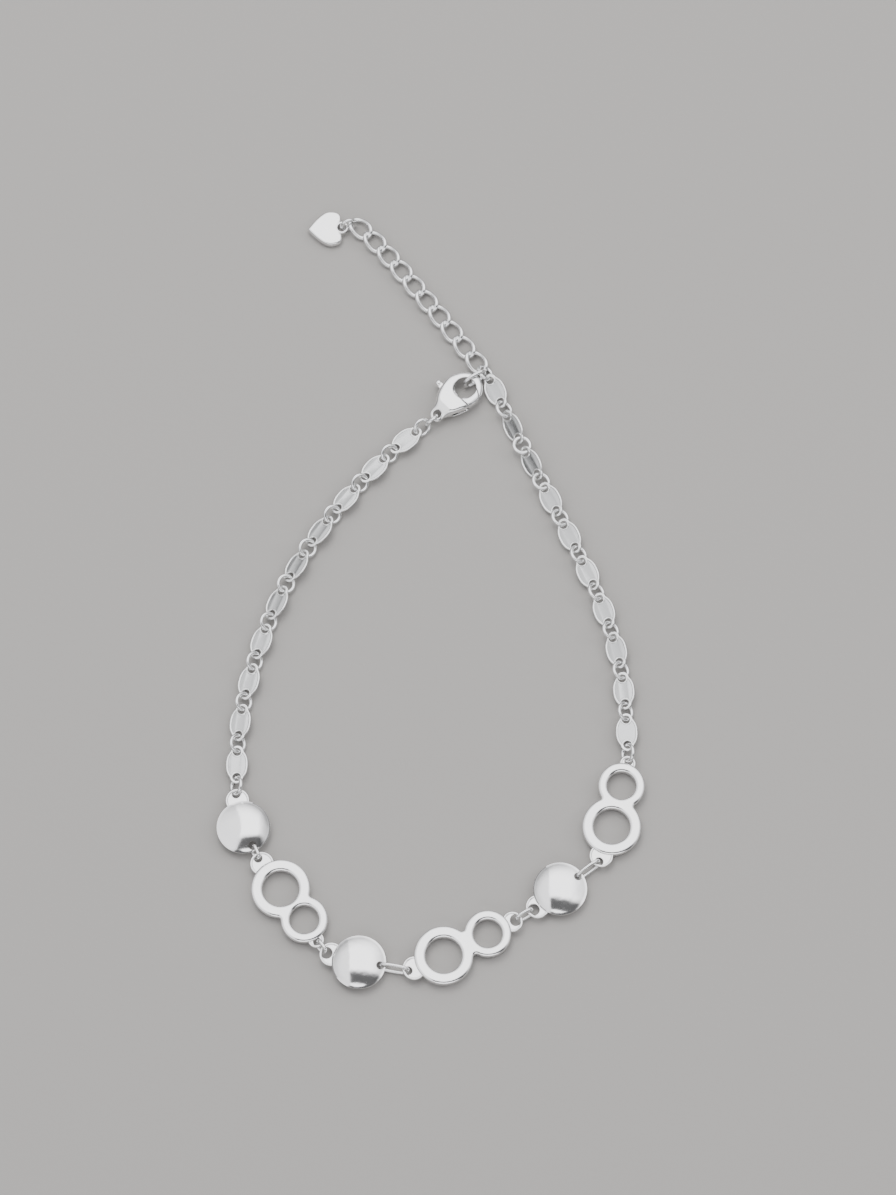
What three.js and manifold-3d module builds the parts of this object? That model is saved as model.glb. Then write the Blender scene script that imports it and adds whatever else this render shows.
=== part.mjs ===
// A payal anklet lying closed: silver-plated links, domed discs and double rings, held by a lobster clasp.
// Millimetres, +Z up. The anklet lies on z = 0 and the origin is the middle of its box at that height.

import * as THREE from "three";
import { mergeVertices } from "three/addons/utils/BufferGeometryUtils.js";
import Module from "manifold-3d";

const wasm = await Module();
wasm.setup();

const TAU = Math.PI * 2;
const AXIS_Z = 1.35;

// One leaf link: a flat marquise plate with an eye at each tip
const LEAF = { reach: 2.05, halfWidth: 1.75, tipRadius: 1.08, eyeRadius: 0.74, thick: 0.4, fullness: 2.6 };
const LEAF_SIDE_STEPS = 8;
const LEAF_TIP_STEPS = 4;
const EYE_SIDES = 8;

// One strand ring: an oval of round wire. Its long half-size is half of what it spans from joint to joint
const RING = { halfLength: 1.35, halfWidth: 1.34, wire: 0.28, roundness: 2 };
const RING_SEGMENTS = 12;
const WIRE_SIDES = 6;

// Upright wire links between the castings, squarer than an oval so that they pass straight through a hole
const CONNECTOR = { halfWidth: 1.0, wire: 0.26, roundness: 3, segments: 16, roll: 72 };

// Castings
const DISC = {
  radius: 4.25, rimZ: 1.5, domeHeight: 1.25, footRadius: 1.8, shoulderRadius: 3.3, shoulderZ: 1.0,
  earAt: 4.5, earRadius: 1.9, earHoleAt: 5.55, earLow: 1.05, earHigh: 1.5, rimHoleAt: 3.4, rimHoleRadius: 0.55,
  underEdge: 0.2, domeRings: 4,
};
const DOUBLE = {
  largeRadius: 4.65, largeHole: 2.85, smallRadius: 3.7, smallHole: 2.25, thick: 1.9, edge: 0.25, holeEdge: 0.15,
  earAt: 5.0, earRadius: 1.9, earHoleAt: 6.05, earLow: 1.05, earHigh: 1.65, footEdge: 0.25, footRise: 0.3,
};
const EAR_HOLE_RADIUS = 0.64;
const OPEN_EYE = { inward: 0.26, grow: 0.26 };
const EAR_SIDES = 14;
const HOLE_SIDES = 10;
const ROUND_SIDES = 22;
const PAST = 0.2;
const THROUGH = 3;

// Curb chain of the extension
const CURB = {
  links: 10, overlap: 0.1, halfWidth: 1.34, wire: 0.36, twist: 0.42, seatGap: 0.11, z: 0.98, segments: 14, sides: 5,
};

// Heart tag
const HEART = {
  halfWidth: 2.95, length: 5.6, notch: -0.6, lobeRise: 0.6, thick: 1.35, edge: 0.3,
  eyeletRadius: 1.05, eyeletHole: 0.68, eyeletThick: 0.5, turn: 3,
};

// Jump rings and the link that the clasp holds
const END_RING = { radius: 1.3, wire: 0.3, leafSeat: 0.2, roll: -42, heading: -58, x: 6.05, y: 37.75, z: 1.18 };
const TAG_RING = { radius: 1.15, wire: 0.29, roll: 75, heading: 20, z: 1.4 };
const CLASP_RING = { radius: 1.25, wire: 0.28, seatGap: 0.15, roll: -72, heading: 42, z: 1.47 };
const FASTENING_LINK = {
  halfLength: 1.85, halfWidth: 1.25, wire: 0.28, roundness: 3, roll: 80, segments: 18,
  seatAlong: 0.06, seatAcross: -0.18,
};

// Lobster clasp, drawn along its own axis: u from the eye end to the tip, v to its left
const CLASP = {
  x: -1.78, y: 30.1, z: 1.52, heading: 44, thick: 2.8, tipThick: 1.5, edge: 0.75,
  eyeU: 6.6, eyeV: 0.2, eyeRadius: 1.75, ringEyeU: 0.2, ringEyeV: 0.2, ringEyeRadius: 0.68, ringEyeThick: 0.9,
  pivotU: 3.6, pivotV: 0.2, pinRadius: 0.32, hubRadius: 0.95, slotHeight: 0.96, gap: 0.12, leverShy: 0.04,
  gateReach: 4.3, gateStart: 4.7, bodyGateRise: -0.3, leverGateRise: -1.0,
};
const CLASP_OUTLINE = [
  { u: -1.0, v: 0.2 }, { u: -0.4, v: 1.2 }, { u: 1.1, v: 1.75 }, { u: 3.0, v: 2.85 }, { u: 5.0, v: 3.4 },
  { u: 6.6, v: 3.35 }, { u: 8.3, v: 2.4 }, { u: 9.4, v: 0.7 }, { u: 9.2, v: -0.9 }, { u: 7.9, v: -2.3 },
  { u: 6.2, v: -2.75 }, { u: 4.2, v: -2.5 }, { u: 2.4, v: -1.85 }, { u: 0.8, v: -1.0 }, { u: -0.5, v: -0.8 },
];
const CLASP_SLOT = [[2.1, -4], [4.95, -4], [5.4, 0], [5.0, 2.0], [5.05, 4.5], [2.1, 4.5], [1.9, 0.5]];
const LEVER_WEB = [[3.0, -0.4], [3.3, -1.5], [4.2, -2.1], [5.2, -1.9], [5.0, -0.7], [4.3, 0.1]];
const LEVER_STEM = [[3.0, 0.5], [4.3, 0.3], [4.5, 2.6], [4.6, 3.7], [3.7, 3.8], [3.5, 2.6]];
const LEVER_THUMB = { u: 4.15, v: 3.95, radius: 0.62 };

// Where the castings lie, with headings in degrees counter-clockwise from +X
const DISCS = [
  { name: "disc_1", x: -32.14, y: -38.21, earHeading: 103.3, holeHeading: -65.1 },
  { name: "disc_2", x: -13.88, y: -59.86, earHeading: 163.3, holeHeading: -10.2, openEye: true },
  { name: "disc_3", x: 17.54, y: -48.15, earHeading: 218.6, holeHeading: 34.1, openEye: true },
];
const DOUBLES = [
  {
    name: "double_ring_1", x: -26.21, y: -48.11, heading: -52.8, spacing: 6.2, earHeading: 126.4,
    tailHeading: -60, tailAt: 3.75, tailRadius: 1.28, tailHoleAt: 4.15,
  },
  {
    name: "double_ring_2", x: -0.67, y: -58.77, heading: 26.8, spacing: 7.7, earHeading: 203.9,
    tailHeading: 26, tailAt: 4.3, tailRadius: 1.65, tailHoleAt: 5.15, openEye: true,
  },
  {
    name: "double_ring_3", x: 25.74, y: -38.08, heading: 76.3, spacing: 6.8, earHeading: 250.3,
    tailHeading: 74.2, tailAt: 3.75, tailRadius: 1.28, tailHoleAt: 4.15,
  },
];

// How each link of a strand is rolled about the strand, in degrees. A ring and its leaves differ by 45 or more
const LEFT_ROLLS = [
  { ring: -50, leaf: 8 }, { ring: -40, leaf: 12 }, { ring: -38, leaf: 16 }, { ring: -34, leaf: 22 },
  { ring: -28, leaf: 26 }, { ring: -26, leaf: 24 }, { ring: -34, leaf: 16 }, { ring: -38, leaf: 14 },
  { ring: -36, leaf: 14 }, { ring: -40, leaf: 2 }, { ring: 54 },
];
const RIGHT_ROLLS = [
  { leaf: 20, ring: -34 }, { leaf: 42, ring: -10 }, { leaf: 40, ring: -22 }, { leaf: 24, ring: -28 },
  { leaf: 20, ring: -34 }, { leaf: 16, ring: -36 }, { leaf: 18, ring: -34 }, { leaf: 20, ring: -32 },
  { leaf: 12, ring: -40 }, { leaf: 0, ring: 54 },
];
const LEFT_ROUTE = [
  { x: -9.5, y: 23.8 }, { x: -19.4, y: 12.4 }, { x: -26.2, y: 1.3 }, { x: -30.7, y: -10.8 }, { x: -33.0, y: -21.5 },
];
const RIGHT_ROUTE = [
  { x: 10.9, y: 27.4 }, { x: 15.4, y: 18.3 }, { x: 20.6, y: 7.5 }, { x: 24.9, y: -2.6 }, { x: 27.6, y: -13.2 },
];
const EXTENSION_ROUTE = [{ x: -15.6, y: 64.1 }, { x: -12.4, y: 61.2 }, { x: -3.5, y: 50.4 }];

const SILVER = { color: 0xdcdee0, roughness: 0.22, metalness: 1 };
const CASTING_SILVER = { color: 0xe6e7e9, roughness: 0.12, metalness: 1 };
const SATIN_SILVER = { color: 0xc9cbce, roughness: 0.38, metalness: 1 };

const radians = (degrees) => (degrees * Math.PI) / 180;

// The point at a distance from another along a heading
function along(from, heading, distance) {
  const angle = radians(heading);
  return new THREE.Vector3(from.x + distance * Math.cos(angle), from.y + distance * Math.sin(angle), from.z ?? 0);
}

function solidOf(geometry) {
  const bare = geometry.clone();
  bare.deleteAttribute("normal");
  bare.deleteAttribute("uv");
  const merged = mergeVertices(bare, 1e-4);
  const mesh = new wasm.Mesh({
    numProp: 3,
    vertProperties: new Float32Array(merged.attributes.position.array),
    triVerts: new Uint32Array(merged.index.array),
  });
  return new wasm.Manifold(mesh);
}

function geometryOf(solid) {
  const mesh = solid.getMesh();
  const geometry = new THREE.BufferGeometry();
  geometry.setAttribute("position", new THREE.BufferAttribute(new Float32Array(mesh.vertProperties), 3));
  geometry.setIndex(new THREE.BufferAttribute(new Uint32Array(mesh.triVerts), 1));
  geometry.computeVertexNormals();
  return geometry;
}

const joined = (...geometries) => geometries.map(solidOf).reduce((sum, solid) => sum.add(solid));
const cut = (solid, ...geometries) => geometries.map(solidOf).reduce((rest, tool) => rest.subtract(tool), solid);

// A closed round of wire whose middle line is given by a function of the turn, 0 to TAU
function wireLoop(middleAt, wire, segments, sides) {
  const positions = [];
  const indices = [];
  const step = 0.01;
  for (let i = 0; i < segments; i += 1) {
    const turn = (i / segments) * TAU;
    const middle = middleAt(turn);
    const ahead = middleAt(turn + step).sub(middleAt(turn - step)).normalize();
    const outward = new THREE.Vector3().crossVectors(ahead, new THREE.Vector3(0, 0, 1)).normalize();
    const upward = new THREE.Vector3().crossVectors(outward, ahead);
    for (let j = 0; j < sides; j += 1) {
      const around = (j / sides) * TAU;
      const point = middle.clone();
      point.addScaledVector(outward, wire * Math.cos(around));
      point.addScaledVector(upward, wire * Math.sin(around));
      positions.push(point.x, point.y, point.z);
      const next = (j + 1) % sides;
      const row = i * sides;
      const nextRow = ((i + 1) % segments) * sides;
      indices.push(row + j, nextRow + j, nextRow + next, row + j, nextRow + next, row + next);
    }
  }
  const geometry = new THREE.BufferGeometry();
  geometry.setAttribute("position", new THREE.Float32BufferAttribute(positions, 3));
  geometry.setIndex(indices);
  geometry.computeVertexNormals();
  return geometry;
}

// An oval whose corners grow squarer as roundness passes 2
function ovalLoop(halfLength, halfWidth, wire, roundness, segments) {
  const power = 2 / roundness;
  const middleAt = (turn) => {
    const c = Math.cos(turn);
    const s = Math.sin(turn);
    const x = halfLength * Math.sign(c) * Math.abs(c) ** power;
    return new THREE.Vector3(x, halfWidth * Math.sign(s) * Math.abs(s) ** power, 0);
  };
  return wireLoop(middleAt, wire, segments, WIRE_SIDES);
}

// A link of curb chain, twisted so that flat links pass over and under each other
function curbLoop(halfLength) {
  const middleAt = (turn) => new THREE.Vector3(
    halfLength * Math.cos(turn),
    CURB.halfWidth * Math.sin(turn),
    CURB.twist * Math.sin(2 * turn),
  );
  return wireLoop(middleAt, CURB.wire, CURB.segments, CURB.sides);
}

function drum(radius, low, high, sides, x = 0, y = 0) {
  const geometry = new THREE.CylinderGeometry(radius, radius, high - low, sides);
  geometry.rotateX(Math.PI / 2);
  geometry.translate(x, y, (low + high) / 2);
  return geometry;
}

function turned(profile, sides, x = 0, y = 0) {
  const points = profile.map(([radius, z]) => new THREE.Vector2(radius, z));
  const geometry = new THREE.LatheGeometry(points, sides);
  geometry.rotateX(Math.PI / 2);
  geometry.translate(x, y, 0);
  return geometry;
}

function plate(shape, low, high, curveSegments = 1) {
  const geometry = new THREE.ExtrudeGeometry(shape, { depth: high - low, bevelEnabled: false, curveSegments });
  geometry.translate(0, 0, low);
  return geometry;
}

function leafGeometry() {
  const { reach, halfWidth, tipRadius, eyeRadius, thick, fullness } = LEAF;
  const outline = [];
  for (const side of [1, -1]) {
    for (let i = 1; i < LEAF_SIDE_STEPS; i += 1) {
      const x = side * reach * (1 - (2 * i) / LEAF_SIDE_STEPS);
      const swell = 1 - (Math.abs(x) / reach) ** fullness;
      outline.push(new THREE.Vector2(x, side * (tipRadius + (halfWidth - tipRadius) * swell)));
    }
    for (let i = 0; i <= LEAF_TIP_STEPS; i += 1) {
      const angle = Math.PI / 2 + (i / LEAF_TIP_STEPS) * Math.PI;
      outline.push(new THREE.Vector2(
        side * (-reach + tipRadius * Math.cos(angle)),
        side * tipRadius * Math.sin(angle),
      ));
    }
  }
  const shape = new THREE.Shape(outline);
  for (const end of [1, -1]) {
    const eye = [];
    for (let i = 0; i < EYE_SIDES; i += 1) {
      const angle = -((i + 0.5) / EYE_SIDES) * TAU;
      eye.push(new THREE.Vector2(end * reach + eyeRadius * Math.cos(angle), eyeRadius * Math.sin(angle)));
    }
    shape.holes.push(new THREE.Path(eye));
  }
  return plate(shape, -thick / 2, thick / 2);
}

// The wire hole of an ear. An open eye is wider, and grows towards the casting that the ear is on
function earHoleDrum(from, heading, distance, openEye) {
  const { inward, grow } = openEye ? OPEN_EYE : { inward: 0, grow: 0 };
  const at = along(from, heading, distance - inward);
  return drum(EAR_HOLE_RADIUS + grow, -THROUGH, THROUGH, HOLE_SIDES, at.x, at.y);
}

function discGeometry({ earHeading, holeHeading, openEye = false }) {
  const { radius, rimZ, domeHeight, underEdge, domeRings } = DISC;
  const domeRadius = (radius ** 2 + domeHeight ** 2) / (2 * domeHeight);
  const profile = [
    [0, 0], [DISC.footRadius, 0], [DISC.shoulderRadius, DISC.shoulderZ], [radius - underEdge, rimZ - underEdge],
  ];
  for (let i = 0; i <= domeRings; i += 1) {
    const r = radius * (1 - i / domeRings);
    profile.push([r, rimZ + Math.sqrt(domeRadius ** 2 - r ** 2) - (domeRadius - domeHeight)]);
  }
  const centre = { x: 0, y: 0 };
  const ear = along(centre, earHeading, DISC.earAt);
  const rimHole = along(centre, holeHeading, DISC.rimHoleAt);
  const body = joined(
    turned(profile, ROUND_SIDES),
    drum(DISC.earRadius, DISC.earLow, DISC.earHigh, EAR_SIDES, ear.x, ear.y),
  );
  return geometryOf(cut(
    body,
    earHoleDrum(centre, earHeading, DISC.earHoleAt, openEye),
    drum(DISC.rimHoleRadius, -THROUGH, THROUGH, HOLE_SIDES, rimHole.x, rimHole.y),
  ));
}

function doubleRingGeometry(row) {
  const { heading, spacing, earHeading, tailHeading, tailAt, tailRadius, tailHoleAt, openEye = false } = row;
  const { thick, edge, holeEdge, footEdge, footRise } = DOUBLE;
  const puck = (radius, at) => turned(
    [
      [0, 0], [radius - footEdge, 0], [radius, footRise], [radius, thick - edge], [radius - edge, thick],
      [0, thick],
    ],
    ROUND_SIDES, at.x, at.y,
  );
  const plug = (radius, at) => turned(
    [
      [0, -PAST], [radius + holeEdge + PAST, -PAST], [radius, holeEdge], [radius, thick - holeEdge],
      [radius + holeEdge + PAST, thick + PAST], [0, thick + PAST],
    ],
    ROUND_SIDES, at.x, at.y,
  );
  const large = { x: 0, y: 0 };
  const small = along(large, heading, spacing);
  const ear = along(large, earHeading, DOUBLE.earAt);
  const tail = along(small, tailHeading, tailAt);
  const body = joined(
    puck(DOUBLE.largeRadius, large),
    puck(DOUBLE.smallRadius, small),
    drum(DOUBLE.earRadius, DOUBLE.earLow, DOUBLE.earHigh, EAR_SIDES, ear.x, ear.y),
    drum(tailRadius, DOUBLE.earLow, DOUBLE.earHigh, EAR_SIDES, tail.x, tail.y),
  );
  return geometryOf(cut(
    body,
    plug(DOUBLE.largeHole, large),
    plug(DOUBLE.smallHole, small),
    earHoleDrum(large, earHeading, DOUBLE.earHoleAt, false),
    earHoleDrum(small, tailHeading, tailHoleAt, openEye),
  ));
}

// The heart points along -X and its eyelet sits in the notch, at the origin
function heartGeometry() {
  const { halfWidth, length, notch, thick, edge } = HEART;
  const lobe = notch + HEART.lobeRise;
  const tip = lobe - length;
  const shape = new THREE.Shape();
  shape.moveTo(notch, 0);
  shape.bezierCurveTo(notch + 0.2, halfWidth * 0.3, lobe, halfWidth * 0.3, lobe, halfWidth * 0.55);
  shape.bezierCurveTo(lobe, halfWidth * 0.95, lobe - 1.1, halfWidth, lobe - 1.9, halfWidth);
  shape.bezierCurveTo(lobe - 3.1, halfWidth, tip + 0.9, halfWidth * 0.4, tip, 0);
  shape.bezierCurveTo(tip + 0.9, -halfWidth * 0.4, lobe - 3.1, -halfWidth, lobe - 1.9, -halfWidth);
  shape.bezierCurveTo(lobe - 1.1, -halfWidth, lobe, -halfWidth * 0.95, lobe, -halfWidth * 0.55);
  shape.bezierCurveTo(lobe, -halfWidth * 0.3, notch + 0.2, -halfWidth * 0.3, notch, 0);
  const heart = new THREE.ExtrudeGeometry(shape, {
    depth: thick - 2 * edge,
    bevelThickness: edge,
    bevelSize: edge,
    bevelOffset: -edge,
    bevelSegments: 1,
    curveSegments: 4,
  });
  heart.translate(0, 0, edge);
  const body = joined(heart, drum(HEART.eyeletRadius, thick - HEART.eyeletThick, thick, EAR_SIDES));
  return geometryOf(cut(body, drum(HEART.eyeletHole, -THROUGH, THROUGH, HOLE_SIDES)));
}

// The whole clasp's outline, seen from above
function claspShape() {
  const curve = new THREE.CatmullRomCurve3(CLASP_OUTLINE.map(({ u, v }) => new THREE.Vector3(u, v, 0)), true);
  return new THREE.Shape(curve.getPoints(30).slice(0, -1).map((p) => new THREE.Vector2(p.x, p.y)));
}

function polygonPlate(points, low, high) {
  return plate(new THREE.Shape(points.map(([u, v]) => new THREE.Vector2(u, v))), low, high);
}

function claspSolid(inset) {
  const { thick, tipThick, edge } = CLASP;
  const geometry = new THREE.ExtrudeGeometry(claspShape(), {
    depth: thick - 2 * edge,
    bevelThickness: edge,
    bevelSize: edge,
    bevelOffset: -edge - inset,
    bevelSegments: 2,
  });
  geometry.translate(0, 0, edge - thick / 2);
  // The clasp thins from its middle to its tip, and to the eye for the jump ring
  const position = geometry.attributes.position;
  for (let i = 0; i < position.count; i += 1) {
    const u = position.getX(i);
    const toTip = THREE.MathUtils.smoothstep(u, 3.5, 8.5);
    const toEye = THREE.MathUtils.smoothstep(-u, -2.4, 0.2);
    const height = THREE.MathUtils.lerp(THREE.MathUtils.lerp(thick, tipThick, toTip), CLASP.ringEyeThick, toEye);
    position.setZ(i, (position.getZ(i) * height) / thick);
  }
  return solidOf(geometry);
}

// The region on the gate's side of the eye, out to a distance from the pin
function gateRegion(reach, start, rise) {
  const { pivotU, pivotV, eyeU, eyeV } = CLASP;
  const points = [[start + 0.1, -4.2], [start, pivotV + rise], [eyeU - 1.2, eyeV + rise], [eyeU + 1.2, eyeV - 0.4]];
  const steps = 8;
  for (let i = 0; i <= steps; i += 1) {
    const angle = radians(-8 - i * 7.5);
    points.push([pivotU + reach * Math.cos(angle), pivotV + reach * Math.sin(angle)]);
  }
  return polygonPlate(points.reverse(), -THROUGH, THROUGH);
}

function claspBodyGeometry() {
  const { gap, slotHeight, eyeU, eyeV, pivotU, pivotV } = CLASP;
  const half = slotHeight / 2;
  const body = cut(
    claspSolid(0),
    drum(CLASP.eyeRadius, -THROUGH, THROUGH, ROUND_SIDES, eyeU, eyeV),
    drum(CLASP.ringEyeRadius, -THROUGH, THROUGH, HOLE_SIDES, CLASP.ringEyeU, CLASP.ringEyeV),
    polygonPlate(CLASP_SLOT, -half, half),
    gateRegion(CLASP.gateReach + gap, CLASP.gateStart - gap, CLASP.bodyGateRise),
  );
  const pin = drum(CLASP.pinRadius, -half - PAST, half + PAST, HOLE_SIDES, pivotU, pivotV);
  return geometryOf(body.add(solidOf(pin)));
}

function claspLeverGeometry() {
  const { gap, slotHeight, pivotU, pivotV, leverShy } = CLASP;
  const half = slotHeight / 2 - gap + leverShy / 2;
  const arm = claspSolid(leverShy)
    .intersect(solidOf(gateRegion(CLASP.gateReach, CLASP.gateStart, CLASP.leverGateRise)))
    .subtract(solidOf(drum(CLASP.eyeRadius + leverShy, -THROUGH, THROUGH, ROUND_SIDES, CLASP.eyeU, CLASP.eyeV)));
  const thumb = new THREE.SphereGeometry(LEVER_THUMB.radius, 12, 8);
  thumb.translate(LEVER_THUMB.u, LEVER_THUMB.v, 0);
  const middle = joined(
    drum(CLASP.hubRadius, -half, half, EAR_SIDES, pivotU, pivotV),
    polygonPlate(LEVER_WEB, -half, half),
    polygonPlate(LEVER_STEM, -half, half),
    thumb,
  );
  const bore = drum(CLASP.pinRadius + gap, -THROUGH, THROUGH, HOLE_SIDES, pivotU, pivotV);
  return geometryOf(cut(arm.add(middle), bore));
}

const layout = new THREE.Group();

function addMesh(parent, name, geometry, finish) {
  const mesh = new THREE.Mesh(geometry, new THREE.MeshStandardMaterial(finish));
  mesh.name = name;
  parent.add(mesh);
  return mesh;
}

// Lays a link from one joint to the next: along the strand, rolled about it
function layLink(mesh, from, to, roll) {
  const run = new THREE.Vector3().subVectors(to, from);
  const level = Math.hypot(run.x, run.y);
  mesh.position.addVectors(from, to).multiplyScalar(0.5);
  mesh.rotation.set(radians(roll), -Math.atan2(run.z, level), Math.atan2(run.y, run.x), "ZYX");
}

function routeCurve(start, between, end) {
  const points = [start, ...between.map(({ x, y }) => new THREE.Vector3(x, y, AXIS_Z)), end];
  return new THREE.CatmullRomCurve3(points, false, "centripetal");
}

// A strand of rings and leaves in turn, whose joints are spread along its route by their spans
function addStrand(side, curve, rows, order) {
  const span = { ring: 2 * RING.halfLength, leaf: 2 * LEAF.reach };
  const linksOf = (row) => order.filter((kind) => kind in row).map((kind) => ({ kind, roll: row[kind] }));
  const links = rows.flatMap(linksOf);
  const total = links.reduce((sum, { kind }) => sum + span[kind], 0);
  const count = { ring: 0, leaf: 0 };
  let travelled = 0;
  let from = curve.getPointAt(0);
  for (const { kind, roll } of links) {
    travelled += span[kind];
    count[kind] += 1;
    const to = curve.getPointAt(Math.min(travelled / total, 1));
    const geometry = kind === "leaf"
      ? leafGeometry()
      : ovalLoop(RING.halfLength, RING.halfWidth, RING.wire, RING.roundness, RING_SEGMENTS);
    const mesh = addMesh(layout, `${side}_${kind}_${count[kind]}`, geometry, kind === "leaf" ? SATIN_SILVER : SILVER);
    layLink(mesh, from, to, roll);
    from = to;
  }
}

function addCastings() {
  const holes = {};
  for (const row of DISCS) {
    addMesh(layout, row.name, discGeometry(row), CASTING_SILVER).position.set(row.x, row.y, 0);
    holes[row.name] = {
      ear: along(row, row.earHeading, DISC.earHoleAt),
      rim: along(row, row.holeHeading, DISC.rimHoleAt),
    };
  }
  for (const row of DOUBLES) {
    addMesh(layout, row.name, doubleRingGeometry(row), CASTING_SILVER).position.set(row.x, row.y, 0);
    holes[row.name] = {
      ear: along(row, row.earHeading, DOUBLE.earHoleAt),
      tail: along(along(row, row.heading, row.spacing), row.tailHeading, row.tailHoleAt),
    };
  }
  for (const piece of Object.values(holes)) {
    Object.values(piece).forEach((hole) => hole.setZ(AXIS_Z));
  }
  return holes;
}

function addConnectors(holes) {
  const pairs = [
    { from: holes.disc_1.rim, to: holes.double_ring_1.ear },
    { from: holes.double_ring_1.tail, to: holes.disc_2.ear },
    { from: holes.disc_2.rim, to: holes.double_ring_2.ear },
    { from: holes.double_ring_2.tail, to: holes.disc_3.ear },
    { from: holes.disc_3.rim, to: holes.double_ring_3.ear },
  ];
  pairs.forEach(({ from, to }, i) => {
    const { halfWidth, wire, roundness, segments, roll } = CONNECTOR;
    const geometry = ovalLoop(from.distanceTo(to) / 2, halfWidth, wire, roundness, segments);
    layLink(addMesh(layout, `connector_${i + 1}`, geometry, SILVER), from, to, roll);
  });
}

function addJumpRing(name, ring, centre) {
  const geometry = ovalLoop(ring.radius, ring.radius, ring.wire, 2, RING_SEGMENTS);
  const mesh = addMesh(layout, name, geometry, SILVER);
  mesh.position.copy(centre);
  mesh.rotation.set(radians(ring.roll), 0, radians(ring.heading), "ZYX");
}

// The extension, its heart and the rings at both its ends
function addExtension(endRing) {
  const seat = CURB.wire + END_RING.wire + 2 * CURB.seatGap;
  const last = along(endRing, END_RING.heading, seat - END_RING.radius);
  const points = EXTENSION_ROUTE.map(({ x, y }) => new THREE.Vector3(x, y, CURB.z));
  const endHeading = Math.atan2(last.y - points.at(-1).y, last.x - points.at(-1).x) * (360 / TAU);
  const roughPitch = points[0].distanceTo(last) / (CURB.links + 0.2);
  const halfLength = roughPitch / 2 + CURB.wire - CURB.overlap / 2;
  const spare = halfLength - roughPitch / 2;
  const end = along(last, endHeading, -spare).setZ(CURB.z);
  const curve = new THREE.CatmullRomCurve3([...points, end], false, "centripetal");
  const links = [];
  let from = curve.getPointAt(0);
  let first = null;
  for (let i = 1; i <= CURB.links; i += 1) {
    const to = curve.getPointAt(i / CURB.links);
    const heading = Math.atan2(to.y - from.y, to.x - from.x);
    const link = curbLoop(halfLength);
    link.rotateZ(heading);
    link.translate((from.x + to.x) / 2, (from.y + to.y) / 2, CURB.z);
    links.push(link);
    first ??= { from, heading: (heading * 360) / TAU };
    from = to;
  }
  addMesh(layout, "extension_chain", geometryOf(joined(...links)), SILVER);
  const inside = along(first.from, first.heading, CURB.wire + TAG_RING.wire + CURB.seatGap - spare).setZ(TAG_RING.z);
  addJumpRing("tag_ring", TAG_RING, along(inside, TAG_RING.heading, -TAG_RING.radius));
  const heart = addMesh(layout, "heart_tag", heartGeometry(), CASTING_SILVER);
  heart.position.copy(along(inside, TAG_RING.heading, -2 * TAG_RING.radius)).setZ(0);
  heart.rotation.z = radians(HEART.turn);
}

function addClasp() {
  const clasp = new THREE.Group();
  clasp.position.set(CLASP.x, CLASP.y, CLASP.z);
  clasp.rotation.z = radians(CLASP.heading);
  layout.add(clasp);
  addMesh(clasp, "clasp_body", claspBodyGeometry(), CASTING_SILVER);
  addMesh(clasp, "clasp_lever", claspLeverGeometry(), CASTING_SILVER);
  clasp.updateWorldMatrix(true, false);
  const eye = clasp.localToWorld(new THREE.Vector3(CLASP.ringEyeU, CLASP.ringEyeV, 0));
  const ring = along(eye, CLASP_RING.heading, -CLASP_RING.radius).setZ(CLASP_RING.z);
  addJumpRing("clasp_ring", CLASP_RING, ring);
  const seat = RING.wire + CLASP_RING.wire + CLASP_RING.seatGap;
  return along(ring, CLASP_RING.heading, seat - CLASP_RING.radius).setZ(AXIS_Z);
}

function addFasteningLink(endRing) {
  const { halfLength, halfWidth, wire, roundness, segments, roll, seatAlong, seatAcross } = FASTENING_LINK;
  const across = END_RING.heading + 90;
  const far = along(along(endRing, END_RING.heading, seatAlong), across, seatAcross).setZ(CLASP.z);
  const near = along(far, across, -2 * halfLength);
  const geometry = ovalLoop(halfLength, halfWidth, wire, roundness, segments);
  layLink(addMesh(layout, "fastening_link", geometry, SILVER), near, far, roll);
}

const holes = addCastings();
addConnectors(holes);
const endRing = new THREE.Vector3(END_RING.x, END_RING.y, END_RING.z);
addJumpRing("end_ring", END_RING, endRing);
addExtension(endRing);
addFasteningLink(endRing);
const leftStart = addClasp();
const rightStart = along(endRing, END_RING.heading, END_RING.radius + END_RING.leafSeat);
const leftCurve = routeCurve(leftStart, LEFT_ROUTE, holes.disc_1.ear);
const rightCurve = routeCurve(rightStart, RIGHT_ROUTE, holes.double_ring_3.tail);
addStrand("left", leftCurve, LEFT_ROLLS, ["ring", "leaf"]);
addStrand("right", rightCurve, RIGHT_ROLLS, ["leaf", "ring"]);

// The origin goes to the middle of the whole anklet's box
const box = new THREE.Box3().setFromObject(layout, true);
const middle = box.getCenter(new THREE.Vector3());
layout.position.set(-middle.x, -middle.y, -box.min.z);

const anklet = new THREE.Group();
anklet.add(layout);
export default anklet;
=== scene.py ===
# %% [markdown]
# # A payal anklet in silver plate
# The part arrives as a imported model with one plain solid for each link, casting and clasp piece.
# This script dresses it: every solid is replaced by a smooth piece with the same size and place,
# then given a metal finish, a floor, soft light and a camera.

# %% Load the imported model
import math

import bmesh
import bpy
import numpy as np
from mathutils import Matrix, Vector
from mathutils.geometry import tessellate_polygon


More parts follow.
